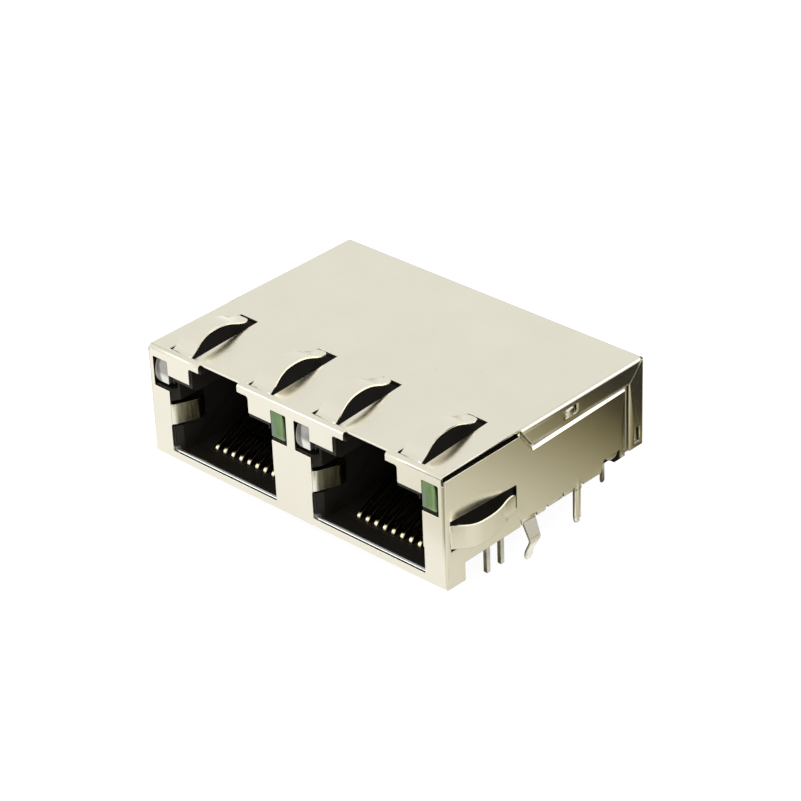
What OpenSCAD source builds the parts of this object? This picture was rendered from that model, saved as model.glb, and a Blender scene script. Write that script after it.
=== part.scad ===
// Two-port shielded board jack, latch side up, with two lights over each port.
// Millimetres. X across the ports, Y into the board, Z up.
// Z = 0 is the seating plane: the underside of the moulded pads, on the board.

/* [Shell] */
// Width across the folded shell
shell_w = 35.5; // [35.3:0.05:35.8]
// Depth from the face to the back panel
shell_d = 26.0; // [25.9:0.05:26.2]
// Height of the top panel above the board
shell_top = 9.33; // [9.3:0.01:9.5]
// How far the face hangs below the board surface
face_drop = 1.82; // [1.75:0.01:1.9]
// Sheet thickness
sheet_t = 0.2; // [0.18:0.01:0.22]
// Outside radius of the folds
bend_r = 0.33; // [0.3:0.01:0.36]

/* [Ports] */
// Distance between the two port centres
port_pitch = 17.56; // [17.5:0.02:17.8]
// Half width of the opening in the face
open_half = 6.45; // [6.4:0.01:6.5]
// Bottom edge of the opening in the face
open_low = -0.91; // [-0.95:0.01:-0.85]
// Bottom edge of the tabs that hang beside the latch slot
hang_low = 6.91; // [6.85:0.01:6.95]
// Half width of the moulded cavity that takes the plug
cavity_half = 5.95; // [5.9:0.01:6.0]
// Floor of the moulded cavity
cavity_floor = -0.8; // [-0.82:0.01:-0.78]
// Ceiling of the moulded cavity
cavity_roof = 6.1; // [6.05:0.01:6.2]
// Distance between neighbouring contacts
contact_pitch = 1.016; // [1.0:0.002:1.02]
// Rise of the contact wires towards the back
contact_rise = 24; // [22:0.5:25]

/* [Spring fingers] */
// Height of the bow in each ground finger
bow_h = 1.42; // [1.2:0.02:1.5]
// Length of the finger slots
finger_len = 8.4; // [8.2:0.05:8.5]

/* [Leads] */
// Lowest point of the solder leads
lead_tip = -3.3; // [-3.5:0.02:-3.1]
// Side of a square signal pin
pin_s = 0.34; // [0.3:0.01:0.36]
// Side of a square light lead
led_lead_s = 0.45; // [0.4:0.01:0.46]
// Radius of the locating posts
post_r = 1.25; // [1.1:0.05:1.3]
// Length of the locating posts below the board surface
post_len = 3.0; // [2.6:0.1:3.1]

/* [Hidden] */

y0 = 13;                       // depth of the origin behind the face
hw = shell_w / 2;
t = sheet_t;
cL = -port_pitch / 2;
cR = port_pitch / 2;
e = 0.01;
nickel = [0.84, 0.82, 0.75];
black = [0.09, 0.085, 0.08];
gold = [0.86, 0.68, 0.32];
tin = [0.62, 0.62, 0.60];
wire_t = 0.30;
wire_w = 0.40;

// ---------- helpers ----------
module slab(x0, x1, ya, yb, z0, z1) { translate([x0, ya, z0]) cube([x1 - x0, yb - ya, z1 - z0]); }
// plane figures drawn in (Y, Z), (X, Z) or (X, Y) and pushed along the third axis
module along_x(xa, xb) { translate([xa, 0, 0]) rotate([90, 0, 90]) linear_extrude(xb - xa) children(); }
module along_y(ya, yb) { translate([0, yb, 0]) rotate([90, 0, 0]) linear_extrude(yb - ya) children(); }
module along_z(za, zb) { translate([0, 0, za]) linear_extrude(zb - za) children(); }
module both_sides() { children(); mirror([1, 0, 0]) children(); }
// rectangle with chosen round corners, flags in the order low-low, high-low, high-high, low-high
module rr(xa, xb, ya, yb, r, f = [1, 1, 1, 1]) {
  difference() {
    translate([xa, ya]) square([xb - xa, yb - ya]);
    if (f[0]) translate([xa - 1, ya - 1]) square(1 + r);
    if (f[1]) translate([xb - r, ya - 1]) square(1 + r);
    if (f[2]) translate([xb - r, yb - r]) square(1 + r);
    if (f[3]) translate([xa - 1, yb - r]) square(1 + r);
  }
  if (f[0]) translate([xa + r, ya + r]) circle(r, $fn = 32);
  if (f[1]) translate([xb - r, ya + r]) circle(r, $fn = 32);
  if (f[2]) translate([xb - r, yb - r]) circle(r, $fn = 32);
  if (f[3]) translate([xa + r, yb - r]) circle(r, $fn = 32);
}
function unit(v) = v / norm(v);
function bez(p, b, q, n) = [for (i = [0:n]) let (s = i / n) p * (1 - s) * (1 - s) + b * 2 * s * (1 - s) + q * s * s];
// polyline whose inner corners are rounded over the distances in r
function soft(pts, r, n = 5) = concat([pts[0]],
  [for (i = [1:len(pts) - 2]) let (u = unit(pts[i - 1] - pts[i]), v = unit(pts[i + 1] - pts[i]))
    each bez(pts[i] + u * r[i - 1], pts[i], pts[i] + v * r[i - 1], n)], [pts[len(pts) - 1]]);
// outline of a strip of thickness w that follows a polyline
function ribbon(path, w) = let (n = len(path) - 1,
  m = [for (i = [0:n]) let (d = unit((i < n ? path[i + 1] : path[i]) - (i > 0 ? path[i - 1] : path[i]))) [-d[1], d[0]]])
  concat([for (i = [0:n]) path[i] + m[i] * w / 2], [for (i = [n:-1:0]) path[i] - m[i] * w / 2]);

// ---------- shield: one folded sheet ----------
// box with round folds, inset by k
module fold_box(k) {
  r = bend_r - k;
  intersection() {
    along_x(-hw + k, hw - k) rr(k, shell_d - k, -face_drop + k, shell_top - k, r, [1, 0, 1, 1]);
    along_z(-face_drop - 1, shell_top + 1) rr(-hw + k, hw - k, k, shell_d - k, r);
    union() {
      slab(-hw - 1, hw + 1, -1, 9.6, -5, shell_top + 1);
      along_y(9.6, shell_d + 1) rr(-hw + k, hw - k, -4, shell_top - k, r, [0, 0, 1, 1]);
    }
  }
}
// opening of one port, drawn in (X, Z)
module port_outline(c) {
  rr(c - open_half, c + open_half, open_low, hang_low, 0.12);
  rr(c - 8.3, c - open_half, 5.28, 8.27, 0.14, [1, 0, 1, 1]);
  rr(c + open_half, c + 8.3, 5.28, 8.27, 0.14, [0, 1, 1, 1]);
  translate([c - open_half - 0.12, 5.28]) square([2 * open_half + 0.24, hang_low - 5.28]);
  rr(c - 3.73, c + 3.73, hang_low - 0.6, 8.53, 0.28);
  translate([c - 2.41, 8]) square([4.82, 2.2]);
  // below the side tabs the opening is a little wider
  rr(c - open_half - 0.1, c + open_half + 0.1, open_low, 1.74, 0.12);
}
// ground tab bent back into the port from its side
module port_tab(c, s) {
  path = soft([[-7.1, t / 2], [-6.38, t / 2], [-5.35, 2.5], [-5.6, 3.25]], [0.32, 0.3], 6);
  translate([c, 0, 0]) mirror([s > 0 ? 1 : 0, 0, 0]) along_z(1.84, 3.88) polygon(ribbon(path, t));
}
// side views of the two kinds of finger: along the panel, and height above it
function bow_top(q) = soft([[0.42, 0], [0.85, 0], [2.5, bow_h + 0.08], [5.15, bow_h + 0.12 + q], [7.4, 0.56 + q], [8.7, 0.35 + q]], [0.3, 1.1, 1.3, 0.6], 8);
bow_side = soft([[0.42, 0], [0.7, 0], [2.2, bow_h + 0.09], [5.2, bow_h + 0.05], [7.1, 0.74], [8.3, 0.6]], [0.2, 1.0, 1.3, 0.6], 8);
// slot round a finger, half widths at front and back
module finger_slot(f, b, len) {
  y1 = 0.64; y2 = y1 + len;
  polygon([[-f, y1], [f, y1], [b, y2], [-b, y2]]);
}
// outline of the finger, its end rounded at y2
module finger_plan(f, b, y2, r) {
  polygon(concat([[-f, 0.4], [f, 0.4], [f, 0.9]], bez([b, y2 - r], [b, y2], [b - r * 0.8, y2], 6),
    bez([-b + r * 0.8, y2], [-b, y2], [-b, y2 - r], 6), [[-f, 0.9]]));
}
// what is removed from the panel: the slot without the root of the finger
module finger_cut(f, b, len, w) {
  difference() {
    finger_slot(f, b, len);
    translate([-w, 0]) square([2 * w, 0.9]);
  }
}
module top_finger(xc, y2, b, q) {
  translate([xc, 0, 0]) intersection() {
    along_x(-2, 2) polygon(ribbon([for (v = bow_top(q)) [v[0], v[1] + shell_top - t / 2]], t));
    along_z(5, 13) finger_plan(1.18, b, y2, 0.7);
  }
}
module side_finger() {
  // stands out of the side wall
  intersection() {
    along_z(0, 8) polygon(ribbon([for (q = bow_side) [hw - t / 2 + q[1], q[0]]], t));
    translate([0, 0, 3.27]) rotate([0, 90, 0]) linear_extrude(30) finger_plan(1.14, 0.87, 8.12, 0.35);
  }
}
finger_x = [cL - 5.1, cL + 4.72, cR - 5.1, cR + 4.72];
// where the four tips end, their half widths there, and how much higher each one stands
finger_y = [8.28, 8.46, 8.45, 8.38];
finger_b = [0.86, 0.66, 0.66, 0.78];
finger_q = [0, 0.02, 0.1, 0.08];

// recess in the side wall that takes the folded flanges
diag_a = 36.9;                 // slant of its front end
fall_a = 1.2;                  // its lower edge falls a little towards the front
module recess(x0) {
  d = 0.3;
  intersection() {
    translate([0, 23.3, 7.05]) rotate([fall_a, 0, 0]) along_y(-16, 5) polygon([[x0, 0], [x0 - d, d], [x0 - d, 5], [x0 + 5, 5], [x0 + 5, -5]]);
    translate([0, 9.15, 9.4]) rotate([diag_a, 0, 0]) translate([0, 0, -15])
      linear_extrude(30) polygon([[x0, 0], [x0 - d, d], [x0 - d, 30], [x0 + 5, 30], [x0 + 5, -5]]);
  }
  along_z(-3, 12) polygon([[x0, 23.3], [x0 - d, 23.3 + d], [x0 - d, 40], [x0 + 5, 40], [x0 + 5, 18.3]]);
}
// area of the recess, drawn in (Y, Z)
module recess_area(g = 0) {
  polygon([[8.95 - g, 9.66], [11.1 - g, 6.8 - g], [23.3 - g, 7.05 - g], [23.3 - g, -1], [27, -1], [27, 9.66]]);
}
module top_flange_area() { polygon([[9.7, 9.9], [9.85, 9.1], [11.22, 7.22], [23.72, 7.42], [25.9, 9.6], [26.1, 9.9]]); }
module back_flange_area() { polygon([[23.98, 0.62], [23.98, 7.45], [26.4, 9.87], [26.4, 0.62]]); }
module mitre_gap() { polygon([[23.72, 7.42], [23.98, 7.45], [26.4, 9.87], [26.17, 9.87]]); }

// tabs that go through the board, right side
module board_lock() {
  path = soft([[hw - t / 2, 1.2], [hw - t / 2, 0.35], [18.42, -1.5], [17.72, -2.9], [17.64, -3.75]], [0.25, 0.3, 0.3], 6);
  intersection() {
    along_y(9.4, 11.5) polygon(ribbon(path, t));
    along_x(16, 20) polygon([[9.65, 1.2], [9.65, 0.2], [9.78, -1.5], [9.9, -2.7], [9.96, -3.5], [10.2, -3.75],
      [10.6, -3.75], [10.88, -3.4], [10.92, -2.7], [11.12, -1.5], [11.25, 0.2], [11.25, 1.2]]);
  }
}
module ground_pin() {
  // half tube whose upper end sinks into the wall
  r = 0.4;
  translate([hw - 0.29, 17.02, 0]) difference() {
    union() {
      translate([0, 0, -3.38]) cylinder(h = 0.22, r1 = 0.21, r2 = 0.31, $fn = 40);
      translate([0, 0, -3.17]) cylinder(h = 0.5, r1 = 0.31, r2 = r, $fn = 40);
      translate([0, 0, -2.68]) cylinder(h = 2.86, r = r, $fn = 40);
      translate([0, 0, 0.17]) cylinder(h = 1.5, r1 = r, r2 = 0.275, $fn = 40);
    }
    translate([-0.06, 0, -4]) cylinder(h = 4.1, r = r - t, $fn = 32);
    slab(-1, -0.06, -1, 1, -4, 0.25);
    slab(-1, -0.12, -1, 1, 0.2, 2);
  }
}
module snap_bump(y, z) {
  // shallow dimple pressed outwards, seen through the window of the flange
  translate([hw - 0.5, y, z]) rotate([0, 90, 0]) rotate_extrude($fn = 40)
    polygon([[0, 0.05], [0.62, 0.05], [0.62, 0.24], [0.56, 0.38], [0.45, 0.5], [0.3, 0.57], [0, 0.6]]);
}
// bottom outline of the side wall, as the area that is cut away, drawn in (Y, Z)
module wall_foot_cut() {
  difference() {
    translate([2.35, -3]) square([30, 3]);
  }
  polygon([[9.3, -1], [9.38, 0.5], [9.62, 0.5], [9.64, -1]]);
  polygon([[11.26, -1], [11.26, 0.46], [11.48, 0.46], [11.52, 0.12], [12.6, 0.12], [12.78, 0.48], [12.92, 0.48],
    [12.98, 0.25], [14.88, 0.25], [14.9, 0.66], [15.02, 0.66], [15.04, 0.25], [16.32, 0.25], [16.34, 0.45], [16.5, 0.45], [16.5, -1]]);
  polygon([[17.42, -1], [17.42, 0.45], [17.64, 0.45], [17.68, 0.25], [20.05, 0.25], [20.42, 1.3], [20.6, 1.42], [20.8, 1.24], [21.2, 0.93],
    [21.72, 0.95], [22.02, 1.05], [22.27, 1.35], [22.49, 1.46], [22.66, 1.3], [22.68, 0.48], [23.4, 0.5], [23.4, -1]]);
}
module shield() {
  color(nickel) {
    difference() {
      union() {
        difference() {
          fold_box(0);
          fold_box(t);
          // open underneath, apart from the lip below the face
          slab(-hw + t, hw - t, 1.9, shell_d - t, -3, 0.7);
          slab(-hw - 1, hw + 1, 23.4, shell_d + 1, -3, 0.62);
          // ports
          along_y(-1, 0.42) { port_outline(cL); port_outline(cR); }
          // slots in the top panel
          for (x = finger_x) translate([x, 0, 0]) along_z(shell_top - t - 0.1, shell_top + 1) finger_cut(1.6, 1.13, finger_len, 1.18);
          both_sides() {
            // slot in the side wall
            translate([hw - t - 0.1, 0, 3.27]) rotate([0, 90, 0]) linear_extrude(2) finger_cut(1.54, 1.16, finger_len - 0.1, 1.14);
            // open seam between top panel and side wall, front half
            slab(hw - 0.3, hw + 1, -1, 9.72, 8.87, shell_top + 1);
            slab(hw - t - 0.1, hw - t, 0.4, 9.72, 8.6, shell_top + 1);
            // corner reliefs
            slab(hw - 0.3, hw - 0.1, -0.1, 0.42, 8.45, shell_top + 1);
            slab(hw - 0.4, hw - 0.14, -0.1, 2.5, -3, -face_drop + 0.22);
            // outer sheet away from the recess, round the flanges
            along_x(hw - t - 0.1, hw + 1) difference() { recess_area(); top_flange_area(); back_flange_area(); }
            along_x(hw - t - 0.1, hw + 1) mitre_gap();
            translate([hw - 0.4, shell_d - 0.2, shell_top - 0.2]) rotate([0, 90, 0]) cylinder(h = 1, r = 0.16, $fn = 24);
            // snap windows
            along_x(hw - t - 0.02, hw + 1) rr(15.22, 16.98, 7.9, 8.76, 0.2);
            along_x(hw - t - 0.02, hw + 1) rr(24.6, 25.4, 0.98, 2.6, 0.15);
          }
        }
        both_sides() {
          // stepped-in part of the side wall, under the flanges
          intersection() {
            difference() {
              difference() { slab(15, hw, 8, 26, -1, 10); recess(hw); }
              difference() { slab(14, hw - t, 7, 27, -2, 11); recess(hw - t); }
            }
            along_x(14, 20) intersection() {
              recess_area(0.1);
              translate([8, 0.5]) square([17.4, 8.55]);
            }
          }
          snap_bump(16.1, 8.26);
        }
        for (i = [0:3]) top_finger(finger_x[i], finger_y[i], finger_b[i], finger_q[i]);
        both_sides() side_finger();
        for (c = [cL, cR]) for (s = [-1, 1]) port_tab(c, s);
      }
      both_sides() {
        along_x(14, 20) wall_foot_cut();
        // rounded rear corner of the front foot
        along_x(14, 20) difference() { translate([2.05, -face_drop - 0.1]) square([0.4, 0.4]); translate([2.05, -face_drop + 0.3]) circle(0.3, $fn = 24); }
        // the foot stops just above the fold of the face
        slab(hw - 0.14, hw + 1, 0.2, 3, -face_drop - 1, -face_drop + 0.08);
      }
    }
    both_sides() { board_lock(); ground_pin(); }
  }
}

// ---------- housing: one black moulding ----------
module led_pocket(c, s) {
  // pocket for one light, with the way down for its two leads
  x2 = c * s > 0 ? 9.5 : 8.66;            // open towards the wall of the shell, closed towards the middle
  translate([c, 0, 0]) mirror([s < 0 ? 1 : 0, 0, 0]) {
    slab(6.08, x2, -1, 5.3, 5.43, 8.5);
    slab(7.7, 8.3, 5.2, 8.14, 6.1, 8.1);
    slab(7.74, 8.3, 5.76, 6.34, -3, 8.1);
    slab(7.74, 8.3, 7.54, 8.12, -3, 8.1);
  }
}
module housing() {
  color(black) difference() {
    union() {
      slab(-17.12, 17.12, 0.22, 25.7, 0.45, 9.06);
      // beside the lights it fills the shell to its walls
      slab(-17.5, 17.5, 0.6, 8.8, 0.45, 8.8);
      slab(-17.12, 17.12, 0.22, 1.0, -1.55, 0.5);
      slab(-17.0, 17.0, 0.9, 2.2, -1.42, 0.5);
      for (c = [cL, cR]) slab(c - 6.6, c + 6.6, 2.1, 14.5, -1.42, 0.5);
      // pads that stand on the board
      slab(-1.9, 1.9, 3.2, 5.0, 0, 0.5);
      slab(-2.0, 2.0, y0 - 1.0, y0 + 1.0, 0, 0.5);
      slab(-1.0, 1.0, 21.1, 22.9, 0, 0.5);
      both_sides() {
        slab(15.5, 17.12, 3.0, 5.0, 0, 0.5);
        slab(15.5, 17.12, 12.0, 14.0, 0, 0.5);
        slab(16.5, 17.28, 22.42, 23.4, 0, 1.4);
      }
    }
    for (c = [cL, cR]) {
      // plug cavity
      slab(c - cavity_half, c + cavity_half, -1, 12, cavity_floor, cavity_roof);
      // rounded front lip of its floor
      translate([c, 0, 0]) difference() {
        slab(-6.35, 6.35, 0, 0.57, cavity_floor - 0.35, cavity_floor + 0.1);
        translate([-7, 0.57, cavity_floor - 0.35]) rotate([0, 90, 0]) cylinder(h = 14, r = 0.35, $fn = 32);
      }
      // lead-in bevels at the sides and roof of the cavity
      for (s = [-1, 1]) translate([c, 0, 0]) mirror([s < 0 ? 1 : 0, 0, 0])
        along_z(cavity_floor, cavity_roof) polygon([[cavity_half - 0.1, -1], [cavity_half + 0.4, -1], [cavity_half + 0.4, 0.3], [cavity_half, 0.9], [cavity_half - 0.1, 0.9]]);
      along_x(c - cavity_half, c + cavity_half) polygon([[-1, cavity_roof - 0.1], [-1, cavity_roof + 0.35], [0.3, cavity_roof + 0.35], [0.8, cavity_roof], [0.8, cavity_roof - 0.1]]);
      // floor opening that takes the contact carrier
      slab(c - cavity_half, c + cavity_half, 2.2, 14.6, -3, cavity_floor + 0.1);
      slab(c - cavity_half, c + cavity_half, 11.6, 14.6, -3, 6.3);
      // latch slot in two steps
      along_y(-1, 9.2) rr(c - 3.55, c + 3.55, cavity_roof - 0.5, 8.35, 0.2, [0, 0, 1, 1]);
      slab(c - 2.3, c + 2.3, -1, 7.6, 8.2, 9.5);
      // pockets for the ground tabs
      slab(c - 7.0, c + 7.0, -1, 3.8, 1.6, 4.2);
      // chamber for the magnetics, open to the back and below
      slab(c - 7.72, c + 7.72, 14.5, 26, -3, 8.45);
      slab(c - 7.72, c + 7.72, 13.0, 14.6, 6.25, 8.45);
      led_pocket(c, -1);
      led_pocket(c, 1);
    }
  }
}

// ---------- contacts ----------
wire_low = -1.2;               // centre of the buried run
turn_y = 2.95; turn_z = -0.85; turn_r = 0.35;
tail_y = 13.8;
function wire_path() = let (a0 = 90 + contact_rise,
    p = [turn_y + turn_r * cos(a0), turn_z + turn_r * sin(a0)],
    l = (12.35 - p[0]) / cos(contact_rise))
  concat([[tail_y, 7.5]], bez([tail_y, wire_low + 0.4], [tail_y, wire_low], [tail_y - 0.4, wire_low], 6),
    [for (i = [0:12]) let (a = 270 - i * (270 - a0) / 12) [turn_y + turn_r * cos(a), turn_z + turn_r * sin(a)]],
    bez(p + l * [cos(contact_rise), sin(contact_rise)] * 0.965, p + l * [cos(contact_rise), sin(contact_rise)] * 1.0,
        p + l * [cos(contact_rise), sin(contact_rise)] * 1.0 + [0.32, -0.05], 4));
module contact(c, i) {
  x = c + (i - 4.5) * contact_pitch;
  color(gold) along_x(x - wire_w / 2, x + wire_w / 2) polygon(ribbon(wire_path(), wire_t));
}
module contact_carrier(c) {
  color(black) difference() {
    union() {
      slab(c - 5.9, c + 5.9, 2.25, 14.35, -1.42, cavity_floor - 0.02);
      slab(c - 5.9, c + 5.9, 11.65, 14.35, -1.42, 6.15);
    }
    for (i = [1:8]) {
      x = c + (i - 4.5) * contact_pitch;
      // groove under each wire, way round its bend, and slot for its free end
      slab(x - 0.28, x + 0.28, 2.4, 11.7, -1.0, -0.7);
      slab(x - 0.28, x + 0.28, 2.4, 3.9, -1.38, -0.7);
      slab(x - 0.28, x + 0.28, 11.6, 13.2, -0.2, 4.8);
      // way of the wire: its buried run and its tail
      along_x(x - wire_w / 2, x + wire_w / 2) polygon(ribbon(wire_path(), wire_t));
    }
    slab(c - 7, c + 7, 11.6, 12.0, 5.2, 7);
  }
}

// ---------- lights ----------
lead_x = 8.02;                 // the leads stand this far from the port centre
module lead_strip(c, s, z, y, w) {
  // one square lead: out of the light, back, then down through the board
  path = soft([[1.6, z], [y, z], [y, lead_tip]], [0.35], 5);
  x = c + s * lead_x; h = w / 2; k = w * 0.24;
  intersection() {
    along_x(x - h, x + h) polygon(ribbon(path, w));
    along_y(0, 12) polygon([[x - h + k, lead_tip], [x + h - k, lead_tip], [x + h, lead_tip + k], [x + h, 9], [x - h, 9], [x - h, lead_tip + k]]);
    along_x(x - 1, x + 1) polygon([[y - h + k, lead_tip], [y + h - k, lead_tip], [y + h, lead_tip + k], [y + h, 9], [0, 9], [0, 5], [y - h, 5], [y - h, lead_tip + k]]);
  }
}
module led_leads(c, s) { color(tin) { lead_strip(c, s, 6.55, 6.05, led_lead_s); lead_strip(c, s, 7.6, 7.83, led_lead_s); } }
// front of a light, drawn in (X, Z): its outer side swells a little, its lower outer corner is rounded by r
module lens_outline(z0, r) {
  intersection() {
    rr(6.47, 9, 4, 8.24, 0.16, [0, 0, 0, 1]);
    rr(6, 8.15, z0, 9, r, [0, 1, 0, 0]);
    translate([4.15, 6.5]) circle(4, $fn = 160);
  }
}
module led(c, s, col, z0, r) {
  color(col) translate([c, 0, 0]) mirror([s < 0 ? 1 : 0, 0, 0]) difference() {
    union() {
      // the lens stands in the window of the face, the body behind it
      along_y(0.03, 1.4) lens_outline(z0, r);
      slab(6.47, 8.4, 1.3, 5.2, 5.95, 8.2);
    }
    for (z = [6.55, 7.6]) slab(lead_x - led_lead_s / 2, lead_x + led_lead_s / 2, 1.6, 6, z - led_lead_s / 2, z + led_lead_s / 2);
  }
}

// ---------- insert behind each port ----------
pins_back = [-6.35, -3.81, -1.27, 1.27, 3.81, 6.35];
pins_front = [-5.08, -2.54, 0, 2.54, 5.08];
row_back = 23.35;
row_front = 20.8;
module pin_at(x, y) {
  h = pin_s / 2;
  intersection() {
    slab(x - h, x + h, y - h, y + h, lead_tip, 7.55);
    along_y(y - 1, y + 1) polygon([[x - h * 0.45, lead_tip], [x + h * 0.45, lead_tip], [x + h, lead_tip + 0.2], [x + h, 7.4], [x + h * 0.5, 7.55], [x - h * 0.5, 7.55], [x - h, 7.4], [x - h, lead_tip + 0.2]]);
  }
}
module signal_pins(c) {
  color(tin) {
    for (x = pins_back) pin_at(c + x, row_back);
    for (x = pins_front) pin_at(c + x, row_front);
  }
}
module insert_base(c) {
  h = pin_s / 2 + 0.01;
  color(black) difference() {
    union() {
      slab(c - 7.62, c + 7.62, 14.6, 25.4, 0.1, 0.9);
      for (s = [-1, 1]) slab(s > 0 ? c + 7.05 : c - 7.62, s > 0 ? c + 7.62 : c - 7.05, 14.6, 25.4, 0.8, 6.35);
      slab(c - 7.62, c + 7.62, 14.6, 15.2, 0.8, 6.0);
      slab(c - 7.62, c + 7.62, 24.8, 25.4, 0.8, 6.35);
      // ribs that hold the pins upright
      slab(c - 7.1, c + 7.1, row_front - 0.5, row_front + 0.5, 0.8, 2.6);
      slab(c - 7.1, c + 7.1, row_back - 0.5, row_back + 0.5, 0.8, 2.6);
      // locating post
      translate([c, 17.4, -post_len + 0.4]) cylinder(h = post_len, r = post_r, $fn = 48);
      translate([c, 17.4, -post_len]) cylinder(h = 0.41, r1 = post_r - 0.3, r2 = post_r, $fn = 48);
    }
    for (x = pins_back) slab(c + x - h, c + x + h, row_back - h, row_back + h, -1, 3);
    for (x = pins_front) slab(c + x - h, c + x + h, row_front - h, row_front + h, -1, 3);
  }
}
module circuit_board(c) {
  color([0.12, 0.36, 0.2]) difference() {
    slab(c - 7.5, c + 7.5, 13.15, 25.2, 6.4, 7.2);
    for (i = [1:8]) translate([c + (i - 4.5) * contact_pitch, tail_y, 6]) cylinder(h = 2, r = 0.3, $fn = 24);
    for (x = pins_back) translate([c + x, row_back, 6]) cylinder(h = 2, r = 0.32, $fn = 24);
    for (x = pins_front) translate([c + x, row_front, 6]) cylinder(h = 2, r = 0.32, $fn = 24);
  }
}
ring_x = [-5.25, -1.75, 1.75, 5.25];
// rings: transformers below, chokes above, as [outer r, inner r, height, z]
rings = [[1.45, 0.75, 1.3, 1.3], [1.25, 0.65, 1.2, 3.9]];
module toroid_cores(c) {
  color([0.2, 0.2, 0.21]) for (x = ring_x) for (g = rings) translate([c + x, 17.9, g[3]]) difference() {
    cylinder(h = g[2], r = g[0], $fn = 48);
    translate([0, 0, -1]) cylinder(h = g[2] + 2, r = g[1], $fn = 36);
  }
}
module winding(g, a) {
  k = 0.02; w = 0.2;
  rotate([0, 0, a]) rotate_extrude(angle = 140, $fn = 72) difference() {
    translate([g[1] - k - w, -k - w]) square([g[0] - g[1] + 2 * (k + w), g[2] + 2 * (k + w)]);
    translate([g[1] - k, -k]) square([g[0] - g[1] + 2 * k, g[2] + 2 * k]);
  }
}
module toroid_windings(c) {
  color([0.72, 0.36, 0.16]) for (x = ring_x) for (g = rings) translate([c + x, 17.9, g[3]]) { winding(g, 20); winding(g, 200); }
}
module termination_resistors(c) {
  color([0.1, 0.1, 0.12]) for (x = [-5.4, -3.2, 3.2, 5.4]) slab(c + x - 0.8, c + x + 0.8, 18.2, 19.0, 7.2, 7.65);
}
module isolation_capacitor(c) {
  color([0.7, 0.6, 0.45]) slab(c - 2.25, c + 2.25, 15.6, 17.6, 7.2, 8.3);
}

module at_origin() { translate([0, -y0, 0]) children(); }
at_origin() shield();
at_origin() housing();
at_origin() contact_carrier(cL);  // contact_carrier_left
at_origin() contact_carrier(cR);  // contact_carrier_right
at_origin() contact(cL, 1);  // contact_left_1
at_origin() contact(cL, 2);  // contact_left_2
at_origin() contact(cL, 3);  // contact_left_3
at_origin() contact(cL, 4);  // contact_left_4
at_origin() contact(cL, 5);  // contact_left_5
at_origin() contact(cL, 6);  // contact_left_6
at_origin() contact(cL, 7);  // contact_left_7
at_origin() contact(cL, 8);  // contact_left_8
at_origin() contact(cR, 1);  // contact_right_1
at_origin() contact(cR, 2);  // contact_right_2
at_origin() contact(cR, 3);  // contact_right_3
at_origin() contact(cR, 4);  // contact_right_4
at_origin() contact(cR, 5);  // contact_right_5
at_origin() contact(cR, 6);  // contact_right_6
at_origin() contact(cR, 7);  // contact_right_7
at_origin() contact(cR, 8);  // contact_right_8
at_origin() led(cL, -1, [0.8, 0.8, 0.78], 5.95, 0.6);  // led_left_clear
at_origin() led(cL, 1, [0.45, 0.62, 0.38], 5.65, 0.25);  // led_left_green
at_origin() led(cR, -1, [0.8, 0.8, 0.78], 5.95, 0.6);  // led_right_clear
at_origin() led(cR, 1, [0.45, 0.62, 0.38], 5.65, 0.25);  // led_right_green
at_origin() led_leads(cL, -1);  // led_leads_left_clear
at_origin() led_leads(cL, 1);  // led_leads_left_green
at_origin() led_leads(cR, -1);  // led_leads_right_clear
at_origin() led_leads(cR, 1);  // led_leads_right_green
at_origin() insert_base(cL);  // insert_base_left
at_origin() insert_base(cR);  // insert_base_right
at_origin() signal_pins(cL);  // signal_pins_left
at_origin() signal_pins(cR);  // signal_pins_right
at_origin() circuit_board(cL);  // circuit_board_left
at_origin() circuit_board(cR);  // circuit_board_right
at_origin() toroid_cores(cL);  // toroid_cores_left
at_origin() toroid_cores(cR);  // toroid_cores_right
at_origin() toroid_windings(cL);  // toroid_windings_left
at_origin() toroid_windings(cR);  // toroid_windings_right
at_origin() termination_resistors(cL);  // termination_resistors_left
at_origin() termination_resistors(cR);  // termination_resistors_right
at_origin() isolation_capacitor(cL);  // isolation_capacitor_left
at_origin() isolation_capacitor(cR);  // isolation_capacitor_right
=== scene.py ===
import math

import bmesh
import bpy
from mathutils import Matrix, Vector
from mathutils.bvhtree import BVHTree


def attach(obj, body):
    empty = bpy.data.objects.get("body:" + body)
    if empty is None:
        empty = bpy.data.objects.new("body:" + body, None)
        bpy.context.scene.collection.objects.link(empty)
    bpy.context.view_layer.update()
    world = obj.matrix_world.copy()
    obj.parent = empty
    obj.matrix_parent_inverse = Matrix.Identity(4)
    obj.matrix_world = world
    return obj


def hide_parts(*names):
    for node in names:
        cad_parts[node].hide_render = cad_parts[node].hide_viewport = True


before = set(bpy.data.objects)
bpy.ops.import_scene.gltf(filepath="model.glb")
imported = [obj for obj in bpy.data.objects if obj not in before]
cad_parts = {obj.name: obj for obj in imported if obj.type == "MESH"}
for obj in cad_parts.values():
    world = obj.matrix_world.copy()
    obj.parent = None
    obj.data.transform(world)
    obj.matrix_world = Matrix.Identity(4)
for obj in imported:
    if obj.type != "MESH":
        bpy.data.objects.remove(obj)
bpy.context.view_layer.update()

scene = bpy.context.scene
MM = 0.001
PITCH = 17.56
BEND_Y = -10.55


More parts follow.
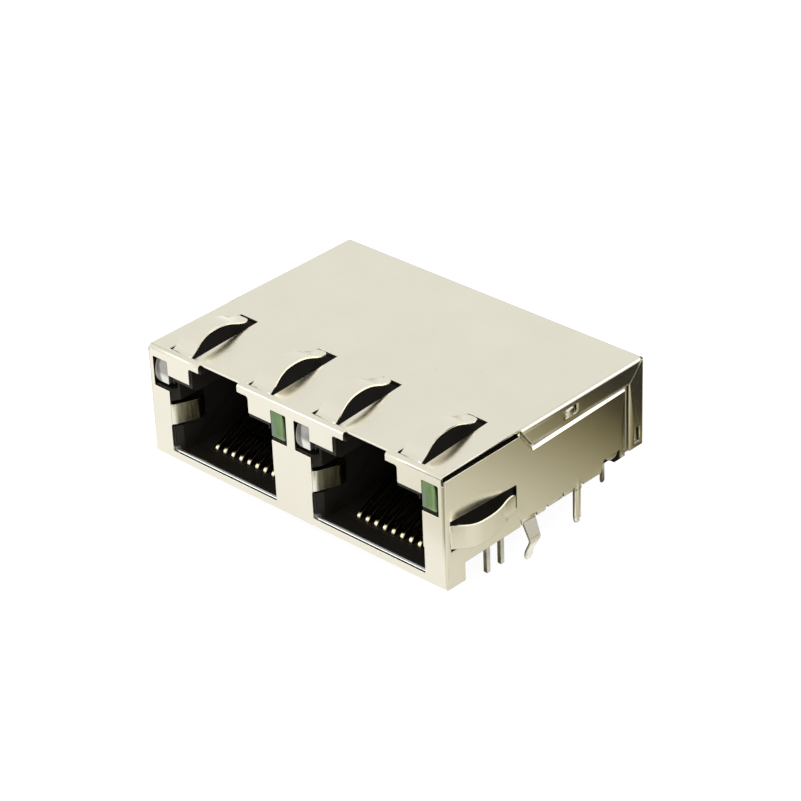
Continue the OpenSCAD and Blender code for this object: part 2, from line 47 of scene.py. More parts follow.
# ---------------------------------------------------------------- node helpers
class Finish:
    """A node material with a Principled shader, fed by the row's own coordinates in millimetres."""

    def __init__(self, name):
        self.mat = bpy.data.materials.new(name)
        self.mat.use_nodes = True
        self.tree = self.mat.node_tree
        self.tree.nodes.clear()
        self.out = self.tree.nodes.new("ShaderNodeOutputMaterial")
        self.bsdf = self.tree.nodes.new("ShaderNodeBsdfPrincipled")
        self.tree.links.new(self.bsdf.outputs[0], self.out.inputs[0])
        co = self.tree.nodes.new("ShaderNodeTexCoord").outputs["Object"]
        self.co = self.mapped(co, (1000, 1000, 1000))
        self.height = []

    def node(self, kind, **props):
        n = self.tree.nodes.new(kind)
        for k, v in props.items():
            setattr(n, k, v)
        return n

    def put(self, socket, value):
        if isinstance(value, bpy.types.NodeSocket):
            self.tree.links.new(value, socket)
        elif hasattr(socket.default_value, "__len__") and len(socket.default_value) == 4 and len(value) == 3:
            socket.default_value = (*value, 1.0)
        else:
            socket.default_value = value

    def set(self, **values):
        names = {"color": "Base Color", "metallic": "Metallic", "rough": "Roughness", "ior": "IOR", "alpha": "Alpha",
                 "specular": "Specular IOR Level", "coat": "Coat Weight", "coat_rough": "Coat Roughness",
                 "transmission": "Transmission Weight", "sss": "Subsurface Weight", "sss_radius": "Subsurface Radius",
                 "sss_scale": "Subsurface Scale", "aniso": "Anisotropic", "normal": "Normal",
                 "emission": "Emission Color", "emit": "Emission Strength"}
        for k, v in values.items():
            self.put(self.bsdf.inputs[names[k]], v)

    def mapped(self, vector, scale=(1, 1, 1), shift=(0, 0, 0), turn=(0, 0, 0)):
        n = self.node("ShaderNodeMapping")
        self.put(n.inputs["Vector"], vector)
        n.inputs["Scale"].default_value = scale
        n.inputs["Location"].default_value = shift
        n.inputs["Rotation"].default_value = turn
        return n.outputs[0]

    def noise(self, scale, detail=3, rough=0.5, stretch=(1, 1, 1), distortion=0.0, shift=(0, 0, 0)):
        """Noise with scale features a millimetre, from 0 to 1 round 0.5."""
        n = self.node("ShaderNodeTexNoise")
        self.put(n.inputs["Vector"], self.mapped(self.co, stretch, shift))
        n.inputs["Scale"].default_value = scale
        n.inputs["Detail"].default_value = detail
        n.inputs["Roughness"].default_value = rough
        n.inputs["Distortion"].default_value = distortion
        return n.outputs[0]

    def voronoi(self, scale, feature="F1", stretch=(1, 1, 1)):
        n = self.node("ShaderNodeTexVoronoi", feature=feature)
        self.put(n.inputs["Vector"], self.mapped(self.co, stretch))
        n.inputs["Scale"].default_value = scale
        return n.outputs[0]

    def span(self, value, low, high, to_low, to_high, smooth=False):
        n = self.node("ShaderNodeMapRange", interpolation_type="SMOOTHSTEP" if smooth else "LINEAR")
        self.put(n.inputs["Value"], value)
        n.inputs["From Min"].default_value = low
        n.inputs["From Max"].default_value = high
        n.inputs["To Min"].default_value = to_low
        n.inputs["To Max"].default_value = to_high
        return n.outputs[0]

    def math(self, what, a, b=0.0, clamp=False):
        n = self.node("ShaderNodeMath", operation=what, use_clamp=clamp)
        self.put(n.inputs[0], a)
        self.put(n.inputs[1], b)
        return n.outputs[0]

    def mix(self, share, a, b, blend="MIX"):
        n = self.node("ShaderNodeMix", data_type="RGBA", blend_type=blend)
        self.put(n.inputs[0], share)
        self.put(n.inputs[6], a)
        self.put(n.inputs[7], b)
        return n.outputs[2]

    def axis(self, letter, vector=None):
        n = self.node("ShaderNodeSeparateXYZ")
        self.put(n.inputs[0], self.co if vector is None else vector)
        return n.outputs["XYZ".index(letter)]

    def facing(self, letter):
        """How far the surface's own normal lies along an axis of the row, from -1 to 1."""
        g = self.node("ShaderNodeNewGeometry")
        return self.axis(letter, g.outputs["Normal"])

    def edge_wear(self, radius=0.08):
        """1 on worn outer edges, 0 on flats, from the surface's pointiness."""
        g = self.node("ShaderNodeNewGeometry")
        return self.span(g.outputs["Pointiness"], 0.5, 0.5 + radius, 0.0, 1.0, True)

    def bump(self, value, microns, strength=1.0):
        n = self.node("ShaderNodeBump")
        n.inputs["Strength"].default_value = strength
        n.inputs["Distance"].default_value = microns * 1e-6
        self.put(n.inputs["Height"], value)
        if self.height:
            self.tree.links.new(self.height[-1], n.inputs["Normal"])
        self.height.append(n.outputs[0])
        self.put(self.bsdf.inputs["Normal"], n.outputs[0])


# ------------------------------------------------------------------- materials
def nickel_sheet():
    f = Finish("nickel_sheet")
    cloud = f.noise(0.16, 4, 0.55)
    grain = f.noise(5.0, 3, 0.6)
    rolled = f.noise(1.3, 4, 0.6, stretch=(0.05, 3.2, 3.2))
    tone = f.mix(f.span(cloud, 0.3, 0.7, 0.0, 1.0), (0.757, 0.722, 0.612), (0.785, 0.75, 0.64))
    tone = f.mix(f.span(rolled, 0.3, 0.7, 0.0, 0.06), tone, (0.66, 0.63, 0.51))
    tone = f.mix(f.span(grain, 0.35, 0.7, 0.0, 0.05), tone, (0.66, 0.63, 0.52))
    # a few fine specks where the plating is pitted
    pit = f.span(f.voronoi(0.42), 0.0, 0.05, 1.0, 0.0)
    tone = f.mix(f.math("MULTIPLY", pit, 0.5), tone, (0.45, 0.42, 0.33))
    # the ground tabs inside the ports: brushed, and painted darker behind the face as painted shade
    inside = f.math("MULTIPLY", f.span(f.axis("Y"), -12.9, -12.35, 0.0, 1.0, True), f.span(f.axis("Z"), 4.1, 4.4, 1.0, 0.0, True))
    inside = f.math("MULTIPLY", inside, f.span(f.axis("Y"), -8.0, -7.5, 1.0, 0.0, True))
    inside = f.math("MULTIPLY", inside, f.span(f.math("ABSOLUTE", f.axis("X")), 16.6, 16.9, 1.0, 0.0, True))
    brush = f.noise(2.2, 3, 0.7, stretch=(0.3, 2.2, 0.15), shift=(3, 5, 0))
    tone = f.mix(inside, tone, f.mix(f.span(brush, 0.3, 0.7, 0.0, 1.0), (0.160, 0.143, 0.084), (0.360, 0.332, 0.215)))
    f.set(color=tone, metallic=1.0)
    f.set(rough=f.math("ADD", f.span(cloud, 0.3, 0.7, 0.20, 0.25), f.span(grain, 0.3, 0.7, -0.015, 0.03)))
    f.bump(rolled, 0.7, 0.5)
    f.bump(f.noise(9.0, 2, 0.5), 0.6, 0.5)
    f.bump(f.noise(0.22, 2, 0.5, shift=(7, 3, 1)), 8.0, 0.5)
    return f.mat


def sheared_edge():
    """The cut edge of the sheet: plated with the rest, with the shear's fine lines across it."""
    f = Finish("sheared_edge")
    lines = f.noise(14.0, 2, 0.6)
    f.set(color=f.mix(f.span(lines, 0.35, 0.65, 0.0, 1.0), (0.70, 0.67, 0.50), (0.80, 0.77, 0.60)), metallic=1.0)
    f.set(rough=f.span(lines, 0.3, 0.7, 0.16, 0.26))
    f.bump(lines, 1.5, 0.5)
    return f.mat


def rolled_rim():
    """The rolled-over rim of a cut, lighter and creamier than the sheet."""
    f = Finish("rolled_rim")
    lines = f.noise(10.0, 2, 0.6)
    tone = f.mix(f.span(lines, 0.35, 0.65, 0.0, 1.0), (0.84, 0.82, 0.68), (0.92, 0.90, 0.77))
    # painted shade: round the rear corner and inside the ports the rims are painted dark
    back = f.math("MULTIPLY", f.span(f.axis("Y"), 8.0, 9.6, 0.0, 1.0, True), f.span(f.axis("Z"), 9.3, 9.55, 1.0, 0.0, True))
    back = f.math("MAXIMUM", back, f.math("MULTIPLY", f.span(f.axis("Y"), -12.75, -12.4, 0.0, 1.0, True), f.span(f.axis("Z"), 4.1, 4.4, 1.0, 0.0, True)))
    side = f.span(f.math("ABSOLUTE", f.axis("X")), 16.9, 17.2, 0.0, 1.0, True)
    dull = f.math("MULTIPLY", back, f.span(f.math("ADD", side, f.span(f.axis("Y"), -7.0, -6.5, 1.0, 0.0, True)), 0.0, 1.0, 0.0, 1.0), clamp=True)
    tone = f.mix(f.math("MULTIPLY", dull, 0.85), tone, (0.16, 0.145, 0.09))
    f.set(color=tone, metallic=1.0)
    f.set(rough=f.span(lines, 0.3, 0.7, 0.30, 0.40))
    f.bump(lines, 1.0, 0.4)
    return f.mat


def black_moulding(name="black_moulding", shift=0.0):
    f = Finish(name)
    grain = f.noise(7.0, 4, 0.6, shift=(shift, 0, 0))
    cloud = f.noise(0.35, 3, 0.5, shift=(shift, 2, 0))
    tone = f.mix(f.span(cloud, 0.3, 0.7, 0.0, 1.0), (0.0135, 0.0112, 0.0082), (0.0190, 0.0160, 0.0120))
    tone = f.mix(f.math("MULTIPLY", f.edge_wear(0.1), 0.4), tone, (0.028, 0.026, 0.023))
    lip = f.math("MULTIPLY", f.span(f.axis("Z"), -0.4, -0.7, 0.0, 1.0, True), f.span(f.axis("Y"), -12.3, -12.6, 0.0, 1.0, True))
    # painted shade: where the moulding lies under the shield's top and walls it is painted darker and given less sheen
    painted_under_shield_shade = f.math("MAXIMUM", f.span(f.axis("Z"), 8.6, 8.9, 0.0, 1.0, True), f.span(f.math("ABSOLUTE", f.axis("X")), 16.9, 17.05, 0.0, 1.0, True))
    gloss = f.math("ADD", f.span(painted_under_shield_shade, 0.0, 1.0, 0.16, 0.015), f.math("MULTIPLY", lip, 0.84))
    f.set(color=f.mix(f.math("MULTIPLY", painted_under_shield_shade, 0.6), tone, (0.004, 0.0035, 0.0025)), specular=gloss)
    dull = f.math("ADD", f.span(cloud, 0.3, 0.7, 0.34, 0.46), f.span(grain, 0.3, 0.7, -0.05, 0.06))
    f.set(rough=f.math("SUBTRACT", dull, f.math("MULTIPLY", lip, 0.24)), ior=f.span(lip, 0.0, 1.0, 1.5, 2.6))
    f.bump(grain, 1.6, 0.5)
    f.bump(f.noise(30.0, 2, 0.5), 0.8, 0.4)
    return f.mat


def gold_wire():
    f = Finish("gold_wire")
    drawn = f.noise(3.0, 3, 0.6, stretch=(6.0, 0.6, 0.6))
    spots = f.noise(1.1, 3, 0.6)
    tone = f.mix(f.span(spots, 0.35, 0.7, 0.0, 1.0), (0.99, 0.87, 0.56), (1.0, 0.92, 0.66))
    # the wires run from a bright bend into the shade of the port
    shade = f.span(f.axis("Y"), BEND_Y + 0.24, BEND_Y + 0.44, 0.0, 1.0, True)
    tone = f.mix(shade, tone, f.mix(spots, (0.065, 0.053, 0.025), (0.15, 0.125, 0.060)))
    f.set(color=tone, metallic=1.0)
    f.set(rough=f.math("ADD", f.span(drawn, 0.3, 0.7, 0.24, 0.31), f.span(shade, 0.0, 1.0, 0.0, -0.12)))
    f.bump(drawn, 1.0, 0.4)
    return f.mat


def tinned_lead():
    f = Finish("tinned_lead")
    drawn = f.noise(2.6, 4, 0.6, stretch=(4.0, 4.0, 0.35))
    cloud = f.noise(0.9, 3, 0.55)
    tone = f.mix(f.span(cloud, 0.3, 0.7, 0.0, 1.0), (0.50, 0.48, 0.42), (0.66, 0.64, 0.58))
    f.set(color=tone, metallic=1.0, rough=f.math("ADD", f.span(cloud, 0.3, 0.7, 0.26, 0.36), f.span(drawn, 0.3, 0.7, -0.04, 0.05)))
    f.bump(drawn, 2.2, 0.5)
    return f.mat


def lens_place(f):
    """Across the window from its left side, and up, in millimetres: the same for both ports."""
    u = f.math("MODULO", f.math("ADD", f.axis("X"), 2 * PITCH), PITCH)
    return u, f.axis("Z")


def clear_lens():
    f = Finish("clear_lens")
    u, z = lens_place(f)
    # seen from the front it is clear at its rim and silvery inside, with darker flow streaks that run up and down; a
    # painted highlight runs along its rim, its upper part is painted lighter, a bright painted highlight lies low down
    # and a darker band runs up it, fainter low down
    streak = f.noise(1.5, 3, 0.6, stretch=(2.6, 0.4, 0.3))
    haze = f.noise(0.9, 3, 0.5)
    bow = f.math("MULTIPLY", f.math("POWER", f.math("ABSOLUTE", f.math("SUBTRACT", z, 7.1)), 2.0), 0.16)
    v = f.math("ADD", f.math("SUBTRACT", u, bow), f.span(streak, 0.3, 0.7, -0.06, 0.06))
    rim = f.math("MULTIPLY", f.span(v, 0.60, 0.68, 0.0, 1.0, True), f.span(v, 0.74, 0.84, 1.0, 0.0, True))
    dark = f.math("MULTIPLY", f.span(v, 0.76, 0.9, 0.0, 1.0, True), f.span(v, 1.2, 1.4, 1.0, 0.0, True))
    dark = f.math("MULTIPLY", dark, f.span(z, 6.2, 7.4, 0.35, 1.0, True))
    painted_top_light = f.math("MULTIPLY", f.span(z, 6.9, 7.9, 0.0, 1.0, True), f.span(v, 1.2, 1.5, 0.0, 1.0, True))
    low = f.math("MULTIPLY", f.span(z, 7.0, 6.5, 0.0, 1.0, True), f.span(v, 1.15, 1.45, 0.0, 1.0, True))
    tone = f.mix(f.span(haze, 0.35, 0.65, 0.0, 1.0), (0.20, 0.193, 0.175), (0.34, 0.332, 0.305))
    tone = f.mix(f.math("MULTIPLY", painted_top_light, 0.7), tone, (0.37, 0.362, 0.33))
    tone = f.mix(low, tone, (0.72, 0.71, 0.66))
    tone = f.mix(f.math("MULTIPLY", dark, f.span(streak, 0.3, 0.7, 1.0, 0.75)), tone, (0.055, 0.052, 0.045))
    tone = f.mix(rim, tone, (0.26, 0.255, 0.25))
    # painted shade: its clear skirt is painted dark for the black pocket behind it, as is the lens where it sits back
    # in the pocket
    skirt = f.math("MAXIMUM", f.span(v, 0.54, 0.62, 1.0, 0.0, True), f.span(f.axis("Y"), -12.93, -12.85, 0.0, 1.0, True))
    tone = f.mix(f.math("MULTIPLY", skirt, 0.95), tone, (0.02, 0.019, 0.016))
    f.set(color=tone, rough=f.span(haze, 0.3, 0.7, 0.2, 0.3), ior=1.5, specular=0.2, coat=0.1, coat_rough=0.1)
    f.bump(f.noise(1.2, 2, 0.5), 8.0, 0.4)
    return f.mat


def green_lens():
    f = Finish("green_lens")
    u, z = lens_place(f)
    haze = f.noise(0.9, 3, 0.55, stretch=(1.5, 0.5, 0.5))
    tone = f.mix(f.span(haze, 0.3, 0.7, 0.0, 1.0), (0.100, 0.172, 0.055), (0.145, 0.235, 0.085))
    # painted reflection: paler and bluer down its left side; painted shade: darker towards the wall of the lens on the
    # right
    left = f.math("MULTIPLY", f.span(u, 15.35, 15.95, 1.0, 0.0, True), f.span(z, 7.9, 6.7, 0.1, 1.0, True))
    tone = f.mix(left, tone, (0.155, 0.205, 0.165))
    # painted shade along its left edge near the top
    edge = f.math("MULTIPLY", f.span(u, 15.2, 15.28, 1.0, 0.0, True), f.span(z, 8.0, 7.4, 0.0, 1.0, True))
    tone = f.mix(f.math("MULTIPLY", edge, 0.5), tone, (0.05, 0.075, 0.045))
    # a painted highlight in a thin line up the lens
    line = f.math("MULTIPLY", f.span(u, 16.35, 16.5, 0.0, 1.0, True), f.span(u, 16.58, 16.68, 1.0, 0.0, True))
    tone = f.mix(f.math("MULTIPLY", line, 0.45), tone, (0.22, 0.33, 0.15))
    tone = f.mix(f.math("MULTIPLY", f.span(u, 16.66, 16.82, 0.0, 1.0, True), 0.85), tone, (0.03, 0.055, 0.02))
    # painted light low in the lens, round its foot
    painted_foot_light = f.math("MULTIPLY", f.span(z, 6.15, 5.8, 0.0, 1.0, True), f.span(u, 15.6, 16.4, 0.0, 1.0, True))
    tone = f.mix(f.math("MULTIPLY", painted_foot_light, 0.5), tone, (0.25, 0.35, 0.18))
    # painted shade where the lens sits back in its pocket
    tone = f.mix(f.math("MULTIPLY", f.span(f.axis("Y"), -12.93, -12.85, 0.0, 1.0, True), 0.9), tone, (0.02, 0.035, 0.015))
    f.set(color=tone, rough=f.span(haze, 0.3, 0.7, 0.2, 0.32), ior=1.5, specular=0.22, coat=0.1, coat_rough=0.12)
    f.bump(f.noise(1.2, 2, 0.5), 8.0, 0.4)
    return f.mat


def board_laminate():
    f = Finish("board_laminate")
    weave = f.node("ShaderNodeTexWave", wave_type="BANDS", bands_direction="X")
    f.put(weave.inputs["Vector"], f.co)
    weave.inputs["Scale"].default_value = 0.9
    weave.inputs["Distortion"].default_value = 1.0
    cross = f.node("ShaderNodeTexWave", wave_type="BANDS", bands_direction="Y")
    f.put(cross.inputs["Vector"], f.co)
    cross.inputs["Scale"].default_value = 0.9
    cross.inputs["Distortion"].default_value = 1.0
    cloth = f.math("MULTIPLY", weave.outputs[1], cross.outputs[1])
    tone = f.mix(f.span(cloth, 0.0, 1.0, 0.0, 0.5), (0.012, 0.085, 0.035), (0.03, 0.15, 0.065))
    f.set(color=tone, rough=f.span(f.noise(1.5), 0.3, 0.7, 0.25, 0.4), coat=0.3, coat_rough=0.2)
    f.bump(cloth, 4.0, 0.4)
    return f.mat


def ferrite():
    f = Finish("ferrite")
    grit = f.noise(6.0, 5, 0.65)
    f.set(color=f.mix(f.span(grit, 0.3, 0.7, 0.0, 1.0), (0.022, 0.022, 0.024), (0.06, 0.06, 0.064)), rough=f.span(grit, 0.3, 0.7, 0.55, 0.75))
    f.bump(grit, 6.0, 0.6)
    return f.mat


def copper_wire():
    f = Finish("copper_wire")
    # turns of fine wire side by side, seen as ridges that run up the sleeve
    turn = f.node("ShaderNodeTexWave", wave_type="RINGS", rings_direction="Z")
    f.put(turn.inputs["Vector"], f.mapped(f.co, (1, 1, 0.2)))
    turn.inputs["Scale"].default_value = 1.6
    tone = f.mix(f.span(turn.outputs[1], 0.2, 0.8, 0.0, 1.0), (0.36, 0.13, 0.04), (0.78, 0.36, 0.16))
    f.set(color=tone, metallic=0.9, rough=f.span(f.noise(2.0), 0.3, 0.7, 0.22, 0.36))
    f.bump(turn.outputs[1], 20.0, 0.6)
    return f.mat


def chip_black():
    f = Finish("chip_black")
    grit = f.noise(5.0, 4, 0.6)
    end = f.span(f.math("ABSOLUTE", f.math("SUBTRACT", f.math("PINGPONG", f.axis("X"), 1.1), 0.55)), 0.45, 0.5, 0.0, 1.0)
    f.set(color=f.mix(end, f.mix(grit, (0.012, 0.012, 0.014), (0.03, 0.03, 0.034)), (0.5, 0.5, 0.48)), rough=f.span(grit, 0.3, 0.7, 0.3, 0.45))
    f.bump(grit, 3.0, 0.4)
    return f.mat


def chip_tan():
    f = Finish("chip_tan")
    grit = f.noise(4.0, 4, 0.6)
    f.set(color=f.mix(grit, (0.28, 0.2, 0.12), (0.42, 0.31, 0.2)), rough=f.span(grit, 0.3, 0.7, 0.3, 0.5))
    f.bump(grit, 3.0, 0.4)
    return f.mat


SHEET, EDGE, RIM = nickel_sheet(), sheared_edge(), rolled_rim()
BLACK, GOLD, TIN = black_moulding(), gold_wire(), tinned_lead()
BLACK_INSERT = black_moulding("black_insert", 11.0)
CLEAR, GREEN = clear_lens(), green_lens()
LAMINATE, FERRITE, COPPER, CHIP, TAN = board_laminate(), ferrite(), copper_wire(), chip_black(), chip_tan()


# -------------------------------------------------------------------- geometry
FLAT = math.cos(math.radians(0.35))
PATCHES = []


def welded(node):
    """A copy of a CAD node's mesh with its faces joined up along their edges."""
    bm = bmesh.new()
    bm.from_mesh(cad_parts[node].data)
    bmesh.ops.remove_doubles(bm, verts=bm.verts, dist=3e-7)
    bmesh.ops.dissolve_degenerate(bm, dist=2e-7, edges=bm.edges)
    bm.normal_update()
    return bm


def flat_panels(bm):
    """Joins the triangles of each flat patch of one material into one face, where the patch has a single outline."""
    bm.normal_update()
    strength = bm.faces.layers.int.new("__mod_weightednormals_faceweight")
    seen = set()
    for start in list(bm.faces):
        if start in seen or start.calc_area() < 1e-14:
            continue
        patch, queue = [start], [start]
        seen.add(start)
        while queue:
            face = queue.pop()
            for edge in face.edges:
                if len(edge.link_faces) != 2:
                    continue
                other = edge.link_faces[0] if edge.link_faces[1] is face else edge.link_faces[1]
                if other in seen or other.material_index != start.material_index:
                    continue
                if other.normal.dot(start.normal) > FLAT and edge.calc_face_angle(1.0) < 0.006:
                    seen.add(other)
                    patch.append(other)
                    queue.append(other)
        inside = set(patch)
        rim = [e for f in patch for e in f.edges if sum(g in inside for g in e.link_faces) == 1]
        # broad flats are strong: they set the normals along their outline
        broad = 2 * sum(f.calc_area() for f in patch) > 0.15 * MM * sum(e.calc_length() for e in rim)
        for f in patch:
            f[strength] = 16384 if broad else 0
        if len(patch) < 2:
            continue
        ends = {}
        for e in rim:
            for v in e.verts:
                ends.setdefault(v, []).append(e)
        if any(len(es) != 2 for es in ends.values()):
            continue
        loop, edge, vert = 1, rim[0], rim[0].verts[1]
        while True:
            edge = ends[vert][0] if ends[vert][1] is edge else ends[vert][1]
            if edge is rim[0]:
                break
            vert = edge.other_vert(vert)
            loop += 1
        if loop == len(rim):
            PATCHES.append((patch, start[strength]))
    for patch, grade in PATCHES:
        for whole in bmesh.ops.dissolve_faces(bm, faces=patch, use_verts=False)["region"]:
            whole[strength] = grade
    PATCHES.clear()
    bm.normal_update()


def cut_edges(bm, thick=0.30 * MM):
    """Gives material 1 to the faces that are the sheet's cut edge: those with more than a sheet's thickness behind them."""
    tree = BVHTree.FromBMesh(bm)
    for face in bm.faces:
        if face.calc_area() < 1e-13:
            continue
        at = face.calc_center_median()
        hit = tree.ray_cast(at - face.normal * 0.004 * MM, -face.normal, 3 * MM)
        face.material_index = 1 if hit[0] is None or hit[3] > thick else 0


def pick_edges(bm, angle):
    """Marks the sharp edges to be broken, apart from those that meet a neighbour at too fine a slant to be cut cleanly."""
    mark = bm.edges.layers.float.new("bevel_weight_edge")
    near, far, line = math.cos(math.radians(16)), -math.cos(math.radians(16)), -math.cos(math.radians(0.3))
    chosen = {e for e in bm.edges if len(e.link_faces) == 2 and e.calc_face_angle(0.0) > math.radians(angle)}
    for turn in range(3):
        drop = set()
        for e in chosen:
            for v in e.verts:
                ahead = (e.other_vert(v).co - v.co).normalized()
                for face in e.link_faces:
                    for g in v.link_edges:
                        if g is e or face not in g.link_faces:
                            continue
                        c = ahead.dot((g.other_vert(v).co - v.co).normalized())
                        if c > near or (line < c < far and g not in chosen):
                            drop.add(e)
        if not drop:
            break
        chosen -= drop
    for e in chosen:
        e[mark] = 1.0


def fine_piece(name, node, materials, bm, width, segments=2, angle=28, rim=-1):
    """A piece that stands for a CAD node: the same shape with its sharp edges broken."""
    pick_edges(bm, angle)
    mesh = bpy.data.meshes.new(name)
    bm.to_mesh(mesh)
    bm.free()
    for stale in ("custom_normal", "sharp_edge", "sharp_face"):
        if stale in mesh.attributes:
            mesh.attributes.remove(mesh.attributes[stale])
    mesh.polygons.foreach_set("use_smooth", [True] * len(mesh.polygons))
    mesh.materials.clear()
    for m in materials:
        mesh.materials.append(m)
    obj = bpy.data.objects.new(name, mesh)
    scene.collection.objects.link(obj)
    b = obj.modifiers.new("broken edges", "BEVEL")
    b.limit_method = "WEIGHT"
    b.width, b.segments, b.use_clamp_overlap = width * MM, segments, False
    b.harden_normals, b.material, b.face_strength_mode = False, rim, "FSTR_NEW"
    w = obj.modifiers.new("even normals", "WEIGHTED_NORMAL")
    w.mode, w.weight, w.keep_sharp, w.use_face_influence = "FACE_AREA", 60, False, True
    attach(obj, "root")
    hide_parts(node)
    return obj


# the folded shell
bm = welded("shield")
cut_edges(bm)
# a border round the pressed bump of each flange, so that its shading stays within it
for level, normal in ((2.0, (0, 1, 0)), (4.2, (0, 1, 0)), (7.72, (0, 0, 1)), (8.8, (0, 0, 1))):
    flange = [f for f in bm.faces if abs(f.calc_center_median().x) > 17.2 * MM and f.calc_center_median().z > 7.1 * MM
              and -3.6 * MM < f.calc_center_median().y < 12.9 * MM]
    parts = list({v for f in flange for v in f.verts}) + list({e for f in flange for e in f.edges}) + flange
    bmesh.ops.bisect_plane(bm, geom=parts, dist=1e-8, plane_co=Vector(normal) * level * MM, plane_no=normal)
flat_panels(bm)
shield = fine_piece("shield_sheet", "shield", [SHEET, EDGE, RIM], bm, 0.032, rim=2)

# everything else keeps its CAD shape, with its sharp edges broken
LOOKS = {"housing": ("housing_moulding", BLACK, 0.05, 2)}
for side in ("left", "right"):
    LOOKS["contact_carrier_" + side] = ("contact_comb_" + side, BLACK_INSERT, 0.03, 2)
    LOOKS["insert_base_" + side] = ("insert_moulding_" + side, BLACK_INSERT, 0.05, 2)
    for i in range(1, 9):
        LOOKS["contact_%s_%d" % (side, i)] = ("contact_wire_%s_%d" % (side, i), GOLD, 0.085, 3)
    LOOKS["led_%s_clear" % side] = ("clear_light_" + side, CLEAR, 0.06, 3)
    LOOKS["led_%s_green" % side] = ("green_light_" + side, GREEN, 0.06, 3)
    for tint in ("clear", "green"):
        LOOKS["led_leads_%s_%s" % (side, tint)] = ("light_leads_%s_%s" % (side, tint), TIN, 0.06, 3)
    LOOKS["signal_pins_" + side] = ("pin_rows_" + side, TIN, 0.045, 2)
    LOOKS["circuit_board_" + side] = ("small_board_" + side, LAMINATE, 0.02, 1)
    LOOKS["toroid_cores_" + side] = ("ferrite_rings_" + side, FERRITE, 0.08, 3)
    LOOKS["toroid_windings_" + side] = ("ring_windings_" + side, COPPER, 0.05, 2)
    LOOKS["termination_resistors_" + side] = ("resistor_chips_" + side, CHIP, 0.03, 2)
    LOOKS["isolation_capacitor_" + side] = ("capacitor_chip_" + side, TAN, 0.05, 2)
for node, (name, material, width, segments) in LOOKS.items():
    bm = welded(node)
    for face in bm.faces:
        face.material_index = 0
    flat_panels(bm)
    fine_piece(name, node, [material], bm, width, segments)


# ----------------------------------------------------------------------- stage
FLOOR_Z = -3.77 * MM


def plane(name, x0, x1, y0, y1, z, material):
    mesh = bpy.data.meshes.new(name)
    mesh.from_pydata([(x0, y0, z), (x1, y0, z), (x1, y1, z), (x0, y1, z)], [], [(0, 1, 2, 3)])
    mesh.materials.append(material)
    obj = bpy.data.objects.new(name, mesh)
    scene.collection.objects.link(obj)
    return obj


f = Finish("pale_floor")
f.set(color=f.mix(f.span(f.noise(0.02, 3, 0.5), 0.3, 0.7, 0.0, 1.0), (0.22, 0.22, 0.22), (0.24, 0.24, 0.24)), rough=0.9, specular=0.05)
f.set(emission=f.mix(f.span(f.noise(0.02, 3, 0.5), 0.3, 0.7, 0.0, 1.0), (0.985, 0.985, 0.985), (1.0, 1.0, 1.0)), emit=0.93)
f.bump(f.noise(0.6, 3, 0.5), 12.0, 0.3)
plane("floor", -2, 2, -2, 2, FLOOR_Z, f.mat)


def flag(name, x0, x1, y0, y1, lift, letter, steps):
    """A dark gel laid on the floor that only the bright metal sees, thinning out along one axis of the row: it paints
    dark reflections into the metal.
    """
    f = Finish(name)
    f.tree.nodes.remove(f.bsdf)
    ramp = None
    for (a, ta), (b, tb) in zip(steps, steps[1:]):
        part = f.span(f.axis(letter), a, b, 0.0, tb - ta)
        ramp = f.math("ADD", part, ta) if ramp is None else f.math("ADD", ramp, part)
    soft = f.math("MULTIPLY", ramp, f.span(f.noise(0.05, 2, 0.5), 0.3, 0.7, 0.97, 1.03), clamp=True)
    rgb = f.node("ShaderNodeCombineColor")
    f.put(rgb.inputs[0], soft)
    f.put(rgb.inputs[1], f.math("POWER", soft, 1.07))
    f.put(rgb.inputs[2], f.math("POWER", soft, 1.45))
    gel = f.node("ShaderNodeBsdfTransparent")
    f.put(gel.inputs[0], rgb.outputs[0])
    f.tree.links.new(gel.outputs[0], f.out.inputs[0])
    obj = plane(name, x0 * MM, x1 * MM, y0 * MM, y1 * MM, FLOOR_Z + lift * MM, f.mat)
    obj.visible_camera = obj.visible_diffuse = obj.visible_transmission = obj.visible_volume_scatter = obj.visible_shadow = False
    return obj


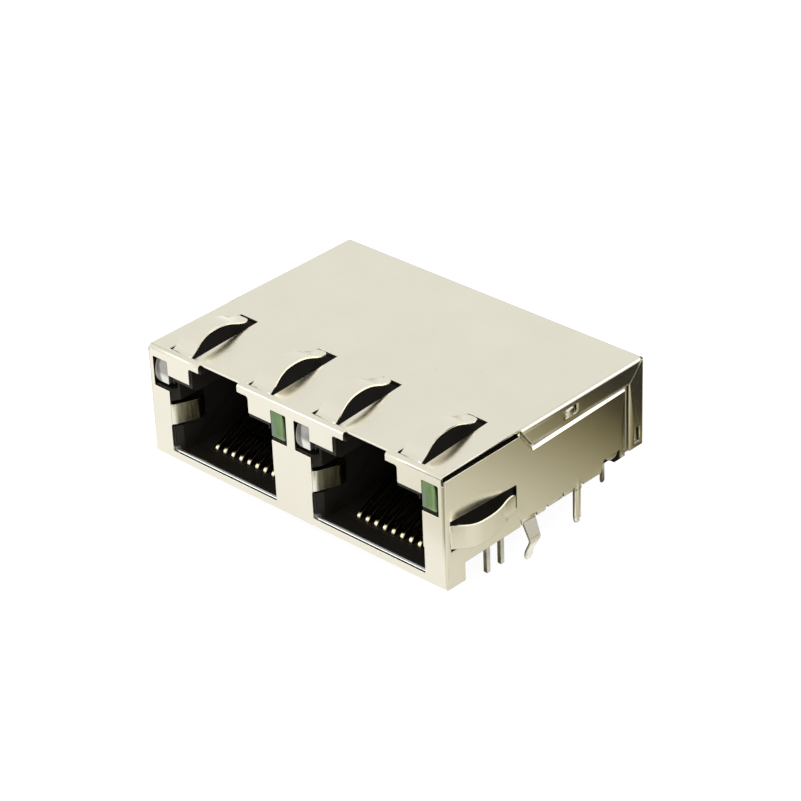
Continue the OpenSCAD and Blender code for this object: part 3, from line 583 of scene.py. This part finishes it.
# painted reflections: the metal sees painted shade on the floor to the right and behind, a dark patch of floor at the
# front right, and painted shade under the body
flag("flag_right", 18.2, 260, -21, 260, 0.05, "Y", [(-12, 0.80), (-6, 0.74), (2, 0.645), (10, 0.40), (18, 0.155), (22, 0.035), (26, 0.01)])
flag("flag_front", -8, 260, -260, -21, 0.05, "X", [(-6, 1.0), (8, 0.8), (15, 0.66), (22, 0.36), (30, 0.36)])
flag("flag_under", -17.3, 17.3, -11.5, 13, 0.05, "X", [(-17, 0.12), (0, 0.10), (17, 0.12)])

# light: an even pale surround, a small soft light low at the front left and a fainter one high at the back right
world = bpy.data.worlds.new("studio")
scene.world = world
world.use_nodes = True
tree = world.node_tree
back = tree.nodes["Background"]
back.inputs[0].default_value = (1.0, 1.0, 0.985, 1)
back.inputs[1].default_value = 0.98


def area(name, at, towards, size, watts, color=(1, 1, 1), size_y=None):
    data = bpy.data.lights.new(name, "AREA")
    data.energy, data.color = watts, color
    data.shape, data.size, data.size_y = "RECTANGLE", size, size_y or size
    obj = bpy.data.objects.new(name, data)
    obj.location = at
    obj.rotation_mode = "QUATERNION"
    obj.rotation_quaternion = (Vector(towards) - Vector(at)).to_track_quat("-Z", "Y")
    scene.collection.objects.link(obj)
    return obj


area("key", (-0.36, -0.414, 0.246), (0, 0, 0.004), 0.15, 0.29)
area("rear_fill", (0.31, 0.38, 0.37), (0, 0, 0.004), 0.28, 0.42)

# ---------------------------------------------------------------------- camera
cam_data = bpy.data.cameras.new("camera")
cam_data.sensor_fit, cam_data.sensor_width = "HORIZONTAL", 36.0
cam_data.lens = 130.8042
cam_data.clip_start, cam_data.clip_end = 0.01, 10.0
cam = bpy.data.objects.new("camera", cam_data)
cam.matrix_world = Matrix((
    (0.73154679, -0.32328737, 0.60027042, 0.15491229),
    (0.68085990, 0.39240968, -0.61842092, -0.15891407),
    (-0.03562425, 0.86110390, 0.50717945, 0.13471213),
    (0, 0, 0, 1)))
scene.collection.objects.link(cam)
scene.camera = cam

scene.view_settings.view_transform = "Standard"
scene.view_settings.look = "None"
scene.view_settings.exposure = 0.0
scene.view_settings.gamma = 1.0
